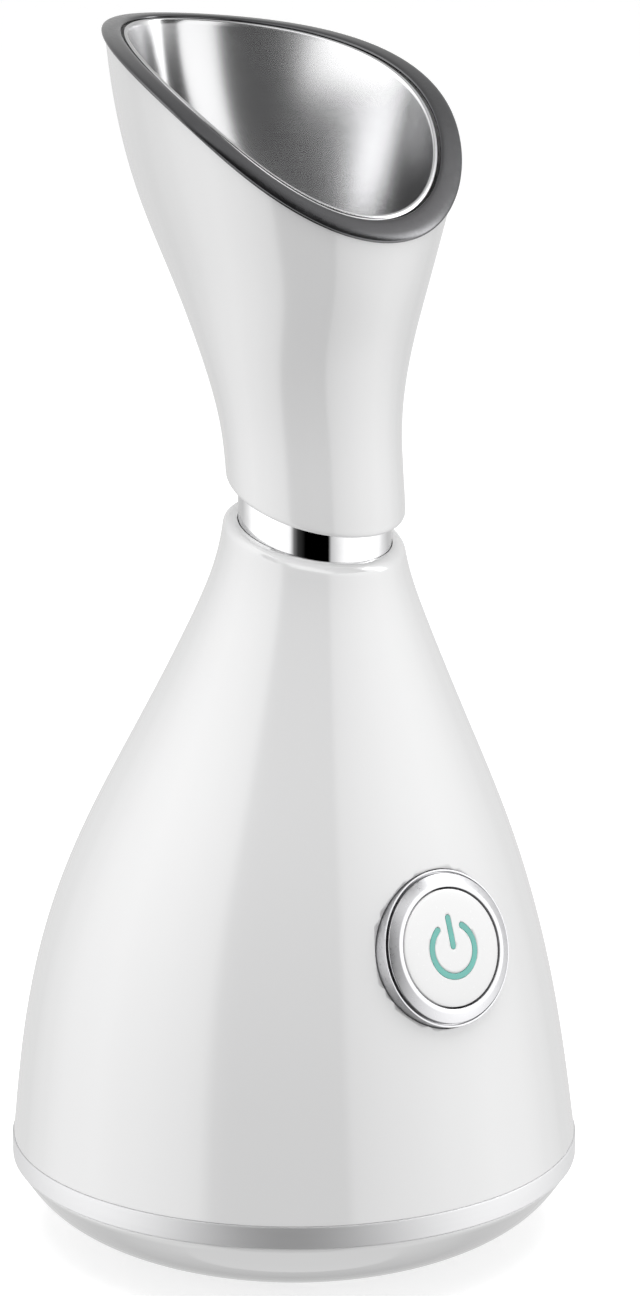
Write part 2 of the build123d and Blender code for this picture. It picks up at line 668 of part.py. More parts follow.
# Rounded grey trim that caps the edge of the shell all round the mouth
with BuildPart() as rim_trim:
    head_solid(-RIM_TRIM_PROUD)
    head_solid(RIM_TRIM_WIDTH, mode=Mode.SUBTRACT)
    cut_above_rim(-RIM_TRIM_RISE)
    cut_below_rim(RIM_TRIM_DEPTH)
    long_edges = [edge for edge in rim_trim.edges() if edge.length > 50]
    fillet(long_edges, RIM_TRIM_ROUND)
rim_trim.part.label = "rim_trim"
export_step(rim_trim.part, "parts/rim_trim.step")

# Satin steel horn inside the head
with BuildPart() as horn_liner:
    head_solid(LINER_INSET)
    head_solid(LINER_INSET + LINER_WALL, mode=Mode.SUBTRACT)
    cut_above_rim(LINER_DROP)
    with BuildSketch(Plane.XY.offset(100.0)):
        Rectangle(120, 120)
    extrude(amount=HORN_FLOOR - 100.0, mode=Mode.SUBTRACT)
horn_liner.part.label = "horn_liner"
export_step(horn_liner.part, "parts/horn_liner.step")

# Floor of the horn, with the throat that the steam comes through
with BuildPart() as horn_floor:
    head_solid(LINER_INSET)
    with BuildSketch(Plane.XY.offset(HORN_FLOOR)):
        Rectangle(120, 120)
    extrude(amount=120.0, mode=Mode.SUBTRACT)
    with BuildSketch(Plane.XY.offset(HORN_FLOOR - FLOOR_THICKNESS)):
        Rectangle(120, 120)
    extrude(amount=-120.0, mode=Mode.SUBTRACT)
    disc(neck_plane(HORN_FLOOR - 5.0), HORN_THROAT_RADIUS, 10.0, mode=Mode.SUBTRACT)
horn_floor.part.label = "horn_floor"
export_step(horn_floor.part, "parts/horn_floor.step")

# Slotted grille in the throat
with BuildPart() as steam_grille:
    disc(neck_plane(HORN_FLOOR - FLOOR_THICKNESS), HORN_THROAT_RADIUS, FLOOR_THICKNESS)
    with BuildSketch(neck_plane(HORN_FLOOR - FLOOR_THICKNESS)) as slots:
        with PolarLocations(5.8, 8):
            SlotOverall(5.0, 1.8)
        Circle(1.6)
    extrude(slots.sketch, amount=FLOOR_THICKNESS, mode=Mode.SUBTRACT)
steam_grille.part.label = "steam_grille"
export_step(steam_grille.part, "parts/steam_grille.step")

# Tube below the throat that slides into the collar, with the flange that rests on it
with BuildPart() as head_spigot:
    spigot_height = HORN_FLOOR - FLOOR_THICKNESS - SPIGOT_BOTTOM
    disc(neck_plane(SPIGOT_BOTTOM), SPIGOT_RADIUS, spigot_height, SPIGOT_BORE)
    disc(neck_plane(COLLAR_TOP), COLLAR_RADIUS + 0.3, FLANGE_TOP - COLLAR_TOP, SPIGOT_BORE)
    disc(neck_plane(162.0), SPIGOT_RADIUS + 1.0, 1.8, SPIGOT_RADIUS - 0.8, mode=Mode.SUBTRACT)
head_spigot.part.label = "head_spigot"
export_step(head_spigot.part, "parts/head_spigot.step")

with BuildPart() as spigot_seal:
    disc(neck_plane(162.2), COLLAR_BORE - 0.1, 1.4, SPIGOT_RADIUS - 0.8)
spigot_seal.part.label = "spigot_seal"
export_step(spigot_seal.part, "parts/spigot_seal.step")
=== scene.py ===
import json
from math import cos, pi, radians, sin, tan

import bmesh
import bpy
import numpy as np
from mathutils import Matrix, Vector


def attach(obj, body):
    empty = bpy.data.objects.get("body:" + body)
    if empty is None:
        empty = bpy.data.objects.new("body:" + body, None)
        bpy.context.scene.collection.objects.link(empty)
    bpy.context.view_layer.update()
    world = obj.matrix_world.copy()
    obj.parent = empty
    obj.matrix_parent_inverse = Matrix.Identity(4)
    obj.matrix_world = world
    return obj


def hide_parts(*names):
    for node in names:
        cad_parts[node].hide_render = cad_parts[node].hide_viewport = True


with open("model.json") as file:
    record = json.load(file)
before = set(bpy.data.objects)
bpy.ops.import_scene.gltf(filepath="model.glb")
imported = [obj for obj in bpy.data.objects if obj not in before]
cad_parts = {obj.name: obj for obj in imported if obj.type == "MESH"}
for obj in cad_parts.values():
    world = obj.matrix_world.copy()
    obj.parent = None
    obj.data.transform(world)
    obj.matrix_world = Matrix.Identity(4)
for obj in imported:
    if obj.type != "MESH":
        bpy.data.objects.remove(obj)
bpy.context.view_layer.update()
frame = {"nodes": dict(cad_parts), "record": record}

# Facial steamer. Sizes below are in millimetres, in the same frame as the CAD model, and are turned
# into metres when a mesh is made. The button faces -Y.

MM = 0.001
AROUND = 192  # points round each ring

# ---- sizes shared with the CAD model ----
BASE_RADIUS = 62.5
BAND_BOTTOM = 16.7
BAND_TOP = 21.7
BAND_INNER_RADIUS = 60.9
NECK_Y = -7.3
COLLAR_RADIUS = 16.4
COLLAR_BORE = 15.4
COLLAR_BOTTOM = 142.0
COLLAR_TOP = 176.0
COLLAR_GAP = 0.15
HEAD_GAP = 0.4
HEAD_BORE = COLLAR_RADIUS + HEAD_GAP
BODY_BORE = COLLAR_RADIUS + COLLAR_GAP
SHELL_WALL = 2.4
HEAD_WALL = 2.0
LINER_INSET = 4.5
LINER_WALL = 1.0
BODY_TOP_HEIGHT = 157.4
BODY_TOP_SLOPE = 15.0
HEAD_BOTTOM_HEIGHT = 164.9
HEAD_BOTTOM_SLOPE = 18.8
HORN_FLOOR = 188.0
BUTTON_HEIGHT = 75.7
BUTTON_Y = -53.8
BUTTON_TILT = 17.5
BEZEL_RADIUS = 16.5
BEZEL_SHOULDER_RADIUS = 16.05
BEZEL_BORE = 12.7
CAP_RADIUS = 12.3
CAP_DOME = 0.8
CAP_THICKNESS = 1.8
CAP_SKIRT = 4.2
CAP_SKIRT_BORE = 10.9
GLYPH_RADIUS = 5.6
GLYPH_RING_RISE = -0.4
GLYPH_BAR_RISE = 3.3
GLYPH_BAR_LENGTH = 7.2
GLYPH_STROKE = 1.2
FOOT_HEIGHT = 1.0
FOOT_PITCH_RADIUS = 31.5
BASE_SCREW_PITCH_RADIUS = 22.0
TRAY_FLOOR = 2.6
TRAY_BORE = 58.4
TRAY_SPIGOT = 60.6
TRAY_LIP_HEIGHT = BAND_TOP - 0.2
INLET_WIDTH = 22.0
INLET_HEIGHT = 14.0
INLET_FACE_Y = 59.8
INLET_Z = 35.0

# Levels of the body and the head: height, half length, half width, centre in Y, egg taper
BODY_LEVELS = [
    (BAND_TOP, 62.2, 62.2, 0.0, 0.0),
    (47.0, 58.9, 58.9, 0.6, 0.0),
    (72.0, 53.2, 53.2, 0.2, 0.0),
    (94.0, 45.2, 45.2, -1.4, 0.0),
    (116.0, 35.1, 35.1, -3.4, 0.0),
    (137.0, 25.6, 25.6, -5.1, 0.0),
    (151.0, 20.5, 20.5, -6.0, 0.0),
    (170.0, 18.6, 18.6, -7.2, 0.0),
]
HEAD_LEVELS = [
    (150.0, 18.9, 18.9, -8.4, 0.0),
    (165.0, 18.9, 18.9, -7.6, 0.0),
    (180.0, 19.4, 19.3, -5.9, 0.0),
    (195.0, 23.6, 21.7, -3.0, 0.06),
    (210.0, 31.3, 24.6, 0.2, 0.12),
    (225.0, 38.0, 28.7, 3.5, 0.17),
    (243.0, 43.6, 33.0, 6.1, 0.24),
    (262.0, 45.2, 36.0, 8.4, 0.31),
    (272.0, 45.4, 36.9, 9.2, 0.34),
]
RIM_PROFILE = [
    (-46.0, 209.0),
    (-26.3, 229.3),
    (-12.0, 242.6),
    (3.0, 251.8),
    (20.0, 257.9),
    (38.0, 261.3),
    (62.0, 263.3),
]


# ---- curves and forms ----


def natural_cubic(knots, values):
    """A smooth curve through the values at the knots, as a function of position."""
    knots, values = np.array(knots, float), np.array(values, float)
    gaps = np.diff(knots)
    count = len(knots)
    system = np.eye(count)
    right = np.zeros(count)
    for i in range(1, count - 1):
        system[i, i - 1] = gaps[i - 1]
        system[i, i] = 2 * (gaps[i - 1] + gaps[i])
        system[i, i + 1] = gaps[i]
        rise = (values[i + 1] - values[i]) / gaps[i] - (values[i] - values[i - 1]) / gaps[i - 1]
        right[i] = 6 * rise
    bend = np.linalg.solve(system, right)

    def curve(position):
        position = np.asarray(position, float)
        i = np.clip(np.searchsorted(knots, position) - 1, 0, count - 2)
        before, after = position - knots[i], knots[i + 1] - position
        return (
            (bend[i] * after**3 + bend[i + 1] * before**3) / (6 * gaps[i])
            + (values[i] / gaps[i] - bend[i] * gaps[i] / 6) * after
            + (values[i + 1] / gaps[i] - bend[i + 1] * gaps[i] / 6) * before
        )

    return curve


class Form:
    """A tall rounded form given by its levels."""

    def __init__(self, levels):
        heights, *columns = zip(*levels)
        self.low, self.high = heights[0], heights[-1]
        self.half_length, self.half_width, self.centre, self.taper = [
            natural_cubic(heights, column) for column in columns
        ]

    def at(self, angle, height, inset=0.0):
        """Points on the form, drawn inwards by inset; angle 0 is the back."""
        across = (self.half_width(height) - inset) * np.sin(angle)
        across = across * (1 - self.taper(height) * np.cos(angle))
        along = self.centre(height) + (self.half_length(height) - inset) * np.cos(angle)
        return np.stack([across, along, height + 0 * across], axis=-1)

    def on_end(self, angle, inset, end, lowered=0.0):
        """Points on the form where it meets a slanted or curved end, lowered by a distance."""
        low = np.full(angle.shape, self.low)
        high = np.full(angle.shape, self.high)
        for _ in range(40):
            middle = (low + high) / 2
            over = middle > end(self.at(angle, middle, inset)[..., 1]) - lowered
            high = np.where(over, middle, high)
            low = np.where(over, low, middle)
        return self.at(angle, (low + high) / 2, inset)


ANGLES = np.arange(AROUND) * 2 * pi / AROUND
BODY = Form(BODY_LEVELS)
HEAD = Form(HEAD_LEVELS)
RIM = natural_cubic(*zip(*RIM_PROFILE))


def body_end(along):
    return BODY_TOP_HEIGHT + tan(radians(BODY_TOP_SLOPE)) * (along - NECK_Y)


def head_end(along):
    return HEAD_BOTTOM_HEIGHT + tan(radians(HEAD_BOTTOM_SLOPE)) * (along - NECK_Y)


def circle(radius, height, centre=NECK_Y):
    """A level ring of points, starting at the back like the forms do."""
    return np.stack(
        [radius * np.sin(ANGLES), centre + radius * np.cos(ANGLES), height + 0 * ANGLES], axis=-1
    )


def rounded(start, corner, finish, radius, steps=6):
    """Points of a profile that turns a corner with a fillet, as (x, y) pairs."""
    start, corner, finish = Vector(start), Vector(corner), Vector(finish)
    into, out = (corner - start).normalized(), (finish - corner).normalized()
    half = into.angle(out) / 2
    reach = radius * tan(half)
    first, last = corner - into * reach, corner + out * reach
    points = []
    for step in range(steps + 1):
        t = step / steps
        points.append(tuple(first * (1 - t) ** 2 + corner * 2 * t * (1 - t) + last * t**2))
    return points


# ---- meshes ----


def finish_mesh(name, vertices, faces, sharp_angle=35.0):
    """An object from millimetre vertices and faces, smooth except across sharp edges."""
    mesh = bpy.data.meshes.new(name)
    mesh.from_pydata([tuple(np.array(v) * MM) for v in vertices], [], faces)
    work = bmesh.new()
    work.from_mesh(mesh)
    bmesh.ops.remove_doubles(work, verts=work.verts, dist=1e-7)
    bmesh.ops.recalc_face_normals(work, faces=work.faces)
    for face in work.faces:
        face.smooth = True
    for edge in work.edges:
        if len(edge.link_faces) == 2 and edge.calc_face_angle(0) > radians(sharp_angle):
            edge.smooth = False
    work.to_mesh(mesh)
    work.free()
    piece = bpy.data.objects.new(name, mesh)
    bpy.context.scene.collection.objects.link(piece)
    return piece


def skin(name, rings, closed=True, caps=(False, False), sharp_angle=35.0):
    """A mesh through rings of points. closed joins the last ring to the first."""
    count = len(rings[0])
    vertices = [point for ring in rings for point in ring]
    faces = []
    last = len(rings) if closed else len(rings) - 1
    for row in range(last):
        here, above = row * count, ((row + 1) % len(rings)) * count
        for i in range(count):
            j = (i + 1) % count
            faces.append((here + i, here + j, above + j, above + i))
    if caps[0]:
        faces.append(tuple(range(count)))
    if caps[1]:
        faces.append(tuple((len(rings) - 1) * count + i for i in range(count)))
    return finish_mesh(name, vertices, faces, sharp_angle)


def lathe(name, profile, centre=NECK_Y, closed=True, sharp_angle=35.0):
    """A turned piece from (radius, height) pairs about an upright axis."""
    return skin(name, [circle(r, z, centre) for r, z in profile], closed, sharp_angle=sharp_angle)


def place_on_button(piece):
    """Moves a piece made about +Z, with its face at 0, onto the button's axis."""
    tilt = radians(BUTTON_TILT)
    turn = Matrix(((1, 0, 0), (0, sin(tilt), -cos(tilt)), (0, cos(tilt), sin(tilt)))).to_4x4()
    move = Matrix.Translation(Vector((0, BUTTON_Y, BUTTON_HEIGHT)) * MM)
    piece.data.transform(move @ turn)
    return piece


def cut(piece, cutter):
    """Cuts cutter out of piece and removes the cutter."""
    modifier = piece.modifiers.new("cut", "BOOLEAN")
    modifier.operation = "DIFFERENCE"
    modifier.solver = "EXACT"
    modifier.object = cutter
    bpy.context.view_layer.update()
    result = bpy.data.meshes.new_from_object(piece.evaluated_get(bpy.context.evaluated_depsgraph_get()))
    piece.modifiers.clear()
    piece.data = result
    bpy.data.objects.remove(cutter)
    return piece


def rounded_box(name, size, centre, radius, segments=4):
    """A box with rounded edges."""
    work = bmesh.new()
    bmesh.ops.create_cube(work, size=1.0)
    bmesh.ops.scale(work, vec=Vector(size), verts=work.verts)
    bmesh.ops.bevel(
        work, geom=list(work.edges), offset=radius, segments=segments, affect="EDGES", profile=0.5
    )
    bmesh.ops.translate(work, vec=Vector(centre), verts=work.verts)
    vertices = [tuple(v.co) for v in work.verts]
    work.verts.index_update()
    faces = [tuple(v.index for v in face.verts) for face in work.faces]
    work.free()
    return finish_mesh(name, vertices, faces)


# ---- materials ----


def node_material(name):
    """An empty node material: the material, its nodes, its links and its main shader."""
    material = bpy.data.materials.new(name)
    material.use_nodes = True
    nodes, links = material.node_tree.nodes, material.node_tree.links
    return material, nodes, links, nodes["Principled BSDF"]


def noise_field(nodes, links, scale, stretch=(1, 1, 1), detail=3.0):
    """A noise texture in the piece's own space, stretched along its axes."""
    place = nodes.new("ShaderNodeTexCoord")
    mapping = nodes.new("ShaderNodeMapping")
    mapping.inputs["Scale"].default_value = stretch
    noise = nodes.new("ShaderNodeTexNoise")
    noise.inputs["Scale"].default_value = scale
    noise.inputs["Detail"].default_value = detail
    links.new(place.outputs["Object"], mapping.inputs["Vector"])
    links.new(mapping.outputs["Vector"], noise.inputs["Vector"])
    return noise.outputs["Fac"]


def spread(nodes, links, field, low, high):
    """Maps a noise field's middle range to low..high."""
    remap = nodes.new("ShaderNodeMapRange")
    remap.inputs["From Min"].default_value = 0.3
    remap.inputs["From Max"].default_value = 0.7
    remap.inputs["To Min"].default_value = low
    remap.inputs["To Max"].default_value = high
    links.new(field, remap.inputs["Value"])
    return remap.outputs["Result"]


def tint(nodes, links, field, first, second, target):
    """Blends two colours by a noise field into a colour socket."""
    ramp = nodes.new("ShaderNodeValToRGB")
    ramp.color_ramp.elements[0].position = 0.3
    ramp.color_ramp.elements[0].color = (*first, 1)
    ramp.color_ramp.elements[1].position = 0.7
    ramp.color_ramp.elements[1].color = (*second, 1)
    links.new(field, ramp.inputs["Fac"])
    links.new(ramp.outputs["Color"], target)


def raise_surface(nodes, links, shader, field, distance):
    """Lets a noise field move the surface by a distance in metres."""
    bump = nodes.new("ShaderNodeBump")
    bump.inputs["Strength"].default_value = 1.0
    bump.inputs["Distance"].default_value = distance
    links.new(field, bump.inputs["Height"])
    links.new(bump.outputs["Normal"], shader.inputs["Normal"])


def plastic(name, colour, roughness, grain, relief, coat=0.0, colour_shift=0.97):
    """Moulded plastic: faint flow variation, a moulded grain and a roughness that varies with it."""
    material, nodes, links, shader = node_material(name)
    flow = noise_field(nodes, links, 14.0)
    darker = tuple(channel * colour_shift for channel in colour)
    tint(nodes, links, flow, darker, colour, shader.inputs["Base Color"])
    fine = noise_field(nodes, links, grain, detail=4.0)
    links.new(spread(nodes, links, fine, *roughness), shader.inputs["Roughness"])
    raise_surface(nodes, links, shader, fine, relief)
    shader.inputs["Coat Weight"].default_value = coat
    shader.inputs["Coat Roughness"].default_value = 0.03
    shader.inputs["IOR"].default_value = 1.5
    return material


def metal(name, colour, roughness, grain, relief, stretch=(1, 1, 1), colour_shift=0.94):
    """Metal with a brushed or plated finish: stretch turns the grain into brush lines."""
    material, nodes, links, shader = node_material(name)
    shader.inputs["Metallic"].default_value = 1.0
    fine = noise_field(nodes, links, grain, stretch, detail=5.0)
    darker = tuple(channel * colour_shift for channel in colour)
    tint(nodes, links, fine, darker, colour, shader.inputs["Base Color"])
    links.new(spread(nodes, links, fine, *roughness), shader.inputs["Roughness"])
    raise_surface(nodes, links, shader, fine, relief)
    return material


WHITE = plastic(
    "white_gloss", (0.80, 0.80, 0.802), (0.10, 0.16), 900.0, 2e-6, coat=1.0, colour_shift=0.985
)
CAP_WHITE = plastic("cap_white", (0.90, 0.90, 0.90), (0.20, 0.28), 1500.0, 2e-6, coat=0.3)
BLACK_PLASTIC = plastic(
    "black_grained", (0.022, 0.022, 0.024), (0.42, 0.58), 2200.0, 1.2e-5, colour_shift=0.8
)
INNER_PLASTIC = plastic("inner_moulding", (0.66, 0.66, 0.64), (0.35, 0.5), 1400.0, 6e-6)
SILICONE = plastic("silicone", (0.62, 0.61, 0.59), (0.45, 0.6), 1600.0, 5e-6)
RUBBER = plastic("rubber", (0.028, 0.028, 0.028), (0.6, 0.8), 1800.0, 1.5e-5, colour_shift=0.7)
BOARD = plastic("circuit_board", (0.02, 0.14, 0.06), (0.3, 0.45), 900.0, 4e-6, colour_shift=0.6)

ROUND_THE_AXIS = 9000
CHROME = metal("mirror_chrome", (0.62, 0.62, 0.625), (0.02, 0.05), 300.0, 5e-7)
RIM_GREY = metal("satin_grey_rim", (0.10, 0.10, 0.103), (0.18, 0.26), 900.0, 1e-6)
BEZEL_METAL = metal("satin_bezel", (0.48, 0.48, 0.49), (0.26, 0.36), 1200.0, 2e-6)
SCREW_STEEL = metal("screw_steel", (0.50, 0.51, 0.52), (0.25, 0.4), 1500.0, 4e-6)
BRASS = metal("contact_brass", (0.78, 0.62, 0.32), (0.18, 0.3), 1200.0, 2e-6)
BAND = metal(
    "brushed_band", (0.57, 0.57, 0.575), (0.56, 0.64), 1.0, 8e-7,
    stretch=(40, 40, ROUND_THE_AXIS), colour_shift=0.96,
)
HORN_STEEL = metal(
    "satin_horn", (0.56, 0.56, 0.565), (0.21, 0.24), 1.0, 1.5e-7,
    stretch=(90, 90, ROUND_THE_AXIS), colour_shift=0.98,
)
MACHINED = metal(
    "machined_aluminium", (0.68, 0.69, 0.70), (0.28, 0.42), 1.0, 4e-6, stretch=(300, 300, 4000)
)


def lens_material(name, colour, glow):
    """A lit lens: clear skin over a coloured body with a soft glow."""
    material, nodes, links, shader = node_material(name)
    cloud = noise_field(nodes, links, 260.0)
    deeper = tuple(channel * 0.88 for channel in colour)
    tint(nodes, links, cloud, deeper, colour, shader.inputs["Base Color"])
    links.new(spread(nodes, links, cloud, 0.12, 0.2), shader.inputs["Roughness"])
    shader.inputs["Coat Weight"].default_value = 0.5
    shader.inputs["Emission Color"].default_value = (*colour, 1)
    shader.inputs["Emission Strength"].default_value = glow
    return material


def clear_material(name, colour):
    """Clear moulded plastic with faint clouding."""
    material, nodes, links, shader = node_material(name)
    cloud = noise_field(nodes, links, 60.0)
    darker = tuple(channel * 0.96 for channel in colour)
    tint(nodes, links, cloud, darker, colour, shader.inputs["Base Color"])
    links.new(spread(nodes, links, cloud, 0.04, 0.1), shader.inputs["Roughness"])
    shader.inputs["Transmission Weight"].default_value = 0.92
    shader.inputs["IOR"].default_value = 1.5
    return material


TEAL = lens_material("teal_lens", (0.08, 0.42, 0.36), 0.10)
LED_LENS = lens_material("led_lens", (0.75, 0.92, 0.88), 0.2)
TANK_CLEAR = clear_material("clear_tank", (0.86, 0.93, 0.96))

SLOT_MATERIALS = {
    "white_gloss_plastic": WHITE,
    "chrome": CHROME,
    "brushed_band": BAND,
    "grey_satin_rim": RIM_GREY,
    "satin_steel": HORN_STEEL,
    "satin_bezel": BEZEL_METAL,
    "teal_lens": TEAL,
    "black_plastic": BLACK_PLASTIC,
    "inner_plastic": INNER_PLASTIC,
    "clear_tank": TANK_CLEAR,
    "silicone": SILICONE,
    "rubber": RUBBER,
    "aluminium": MACHINED,
    "steel_screw": SCREW_STEEL,
    "pin_brass": BRASS,
    "circuit_board": BOARD,
    "led_lens": LED_LENS,
}
NODE_SLOTS = {row["node"]: row["material_slot"] for row in frame["record"]["subparts"]}
for node, thing in frame["nodes"].items():
    thing.data.materials.clear()
    thing.data.materials.append(SLOT_MATERIALS[NODE_SLOTS[node]])


def fit(piece, material, body, node):
    """Gives a piece its material, puts it on its body and lets it stand for its CAD node."""
    piece.data.materials.clear()
    piece.data.materials.append(material)
    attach(piece, body)
    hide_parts(node)


# ---- base ----


def curve_points(points, steps):
    """Points along a smooth line through the given (radius, height) pairs."""
    gaps = [Vector(step).length for step in np.diff(np.array(points), axis=0)]
    knots = np.concatenate([[0], np.cumsum(gaps)])
    radii, heights = [natural_cubic(knots, column) for column in zip(*points)]
    along = np.linspace(0, knots[-1], steps)
    return list(zip(radii(along), heights(along)))


BAND_EDGE = 0.45
BAND_FOOT = (BASE_RADIUS, BAND_BOTTOM)
BAND_HEAD = (BASE_RADIUS, BAND_TOP)
BAND_PROFILE = [
    *rounded((BAND_INNER_RADIUS, BAND_BOTTOM), BAND_FOOT, BAND_HEAD, BAND_EDGE),
    *rounded(BAND_FOOT, BAND_HEAD, (BAND_INNER_RADIUS, BAND_TOP), BAND_EDGE),
    (BAND_INNER_RADIUS, BAND_TOP),
    (BAND_INNER_RADIUS, BAND_BOTTOM),
]
fit(lathe("band_ring", BAND_PROFILE, centre=0.0), BAND, "root", "base_band")

# The tray's outer curve from its flat foot to its brim, and its inner curve back down
TRAY_BRIM = (61.5, 15.6)
TRAY_SHOULDER = BAND_BOTTOM - 0.05
TRAY_INSIDE = FOOT_HEIGHT + TRAY_FLOOR
TRAY_OUTER = [(42.4, FOOT_HEIGHT + 0.18), (50.2, 4.7), (57.2, 9.9), TRAY_BRIM]
TRAY_INNER = [(58.0, 16.4), (55.0, 12.2), (49.0, 7.4), (41.0, TRAY_INSIDE)]
TRAY_PROFILE = [
    (0.0, FOOT_HEIGHT),
    (20.0, FOOT_HEIGHT),
    (40.8, FOOT_HEIGHT),
    (41.6, FOOT_HEIGHT + 0.04),
    *curve_points(TRAY_OUTER, 26),
    *rounded(TRAY_BRIM, (61.9, TRAY_SHOULDER), (TRAY_SPIGOT, TRAY_SHOULDER), 0.5),
    (TRAY_SPIGOT, BAND_BOTTOM),
    (TRAY_SPIGOT, TRAY_LIP_HEIGHT),
    (TRAY_BORE, TRAY_LIP_HEIGHT),
    (TRAY_BORE, BAND_BOTTOM + 0.6),
    *curve_points(TRAY_INNER, 12),
    (0.0, TRAY_INSIDE),
]
tray = lathe("bottom_tray", TRAY_PROFILE, centre=0.0)


def sink(pitch, angles, radius, depth):
    """Cuts round pockets into the underside of the tray, on a circle about its axis."""
    for angle in angles:
        at = Vector((pitch * cos(radians(angle)), pitch * sin(radians(angle)), FOOT_HEIGHT))
        pocket = [(0.0, -1.0), (radius, -1.0), (radius, depth), (0.0, depth)]
        hole = lathe("pocket", pocket, centre=0.0)
        hole.data.transform(Matrix.Translation(at * MM))
        cut(tray, hole)


sink(BASE_SCREW_PITCH_RADIUS, (90, 210, 330), radius=3.1, depth=1.2)
sink(FOOT_PITCH_RADIUS, (45, 135, 225, 315), radius=4.6, depth=0.8)
fit(tray, WHITE, "root", "base_tray")

# ---- body ----


def wall(form, inset, low_ring, high_ring, count):
    """Rings up a form's wall between two end rings, which may be slanted."""
    low, high = low_ring[:, 2], high_ring[:, 2]
    return [form.at(ANGLES, low + (high - low) * step / count, inset) for step in range(count + 1)]


BODY_ROUND = 1.9
BODY_FOOT_LEVEL = np.full(AROUND, BAND_TOP + 0.02)
BODY_INSIDE_TOP_LEVEL = np.full(AROUND, 136.0)
COLLAR_SEAT = 140.0
body_foot = BODY.at(ANGLES, BODY_FOOT_LEVEL)
body_shoulder = BODY.on_end(ANGLES, 0.0, body_end, lowered=BODY_ROUND)
body_rings = wall(BODY, 0.0, body_foot, body_shoulder, 90)
for step in range(1, 8):
    turn = pi / 2 * step / 7
    inset, lowered = BODY_ROUND * (1 - cos(turn)), BODY_ROUND * (1 - sin(turn))
    body_rings.append(BODY.on_end(ANGLES, inset, body_end, lowered=lowered))
hole_top = circle(BODY_BORE, 0.0)
hole_top[:, 2] = body_end(hole_top[:, 1]) - 0.1
body_rings.append(hole_top)
body_rings.append(circle(BODY_BORE, COLLAR_SEAT))
inner_top = BODY.at(ANGLES, BODY_INSIDE_TOP_LEVEL, SHELL_WALL)
inner_foot = BODY.at(ANGLES, BODY_FOOT_LEVEL, SHELL_WALL)
body_rings += wall(BODY, SHELL_WALL, inner_top, inner_foot, 20)
body = skin("body_bell", body_rings)

HOLE_RADIUS = BEZEL_RADIUS + 0.2
HOLE_BACK = -22.0
HOLE_FRONT = 12.0
HOLE_PROFILE = [(0.0, HOLE_BACK), (HOLE_RADIUS, HOLE_BACK), (HOLE_RADIUS, HOLE_FRONT), (0.0, HOLE_FRONT)]
cut(body, place_on_button(lathe("button_hole", HOLE_PROFILE, centre=0.0)))

INLET_GAP = 0.4
INLET_HOLE_LENGTH = 30.0
INLET_CORNER = 2.0
inlet_size = (INLET_WIDTH + INLET_GAP, INLET_HOLE_LENGTH, INLET_HEIGHT + INLET_GAP)
cut(body, rounded_box("inlet_hole", inlet_size, (0, INLET_FACE_Y, INLET_Z), INLET_CORNER))
fit(body, WHITE, "root", "body_shell")

COLLAR_EDGE = 0.35
COLLAR_FOOT = (COLLAR_RADIUS, COLLAR_BOTTOM)
COLLAR_LIP = (COLLAR_BORE, COLLAR_TOP)
COLLAR_PROFILE = [
    COLLAR_FOOT,
    *rounded(COLLAR_FOOT, (COLLAR_RADIUS, COLLAR_TOP), COLLAR_LIP, COLLAR_EDGE),
    COLLAR_LIP,
    (COLLAR_BORE, COLLAR_BOTTOM),
]
fit(lathe("chrome_collar", COLLAR_PROFILE), CHROME, "root", "neck_collar")

# ---- head ----

HEAD_ROUND = 1.2
TRIM_DEPTH = 0.7
TRIM_WIDTH = 3.9
TRIM_PROUD = 0.8
TRIM_RISE = 0.6
TRIM_THICKNESS = TRIM_DEPTH + TRIM_RISE
HEAD_BORE_TOP = 178.0
HEAD_INSIDE_LEVEL = np.full(AROUND, HEAD_BORE_TOP + 0.4)
head_bore = circle(HEAD_BORE, 0.0)
head_bore[:, 2] = head_end(head_bore[:, 1])
head_rings = [circle(HEAD_BORE, HEAD_BORE_TOP), head_bore]
for step in range(7):
    turn = pi / 2 * (1 - step / 6)
    inset, lowered = HEAD_ROUND * (1 - cos(turn)), -HEAD_ROUND * (1 - sin(turn))
    head_rings.append(HEAD.on_end(ANGLES, inset, head_end, lowered=lowered))
head_rings += wall(HEAD, 0.0, head_rings[-1], HEAD.on_end(ANGLES, 0.0, RIM, TRIM_DEPTH), 90)[1:]
inner_rim = HEAD.on_end(ANGLES, HEAD_WALL, RIM, TRIM_DEPTH)
inner_low = HEAD.at(ANGLES, HEAD_INSIDE_LEVEL, HEAD_WALL)
head_rings += wall(HEAD, HEAD_WALL, inner_rim, inner_low, 40)
fit(skin("head_flare", head_rings), WHITE, "head", "head_shell")

# The trim's section is a flat ellipse, made squarer by powers under one
SIDE_SQUARENESS = 0.6
TOP_SQUARENESS = 0.8
trim_rings = []
half_width = (TRIM_WIDTH + TRIM_PROUD) / 2
half_thickness = TRIM_THICKNESS / 2
for step in range(32):
    turn = 2 * pi * step / 32
    reach = abs(cos(turn)) ** SIDE_SQUARENESS * (1 if cos(turn) > 0 else -1)
    rise = abs(sin(turn)) ** TOP_SQUARENESS * (1 if sin(turn) > 0 else -1)
    inset = half_width * (1 - reach) - TRIM_PROUD
    trim_rings.append(HEAD.on_end(ANGLES, inset, RIM, half_thickness * (1 - rise) - TRIM_RISE))
fit(skin("mouth_trim", trim_rings, sharp_angle=60.0), RIM_GREY, "head", "rim_trim")

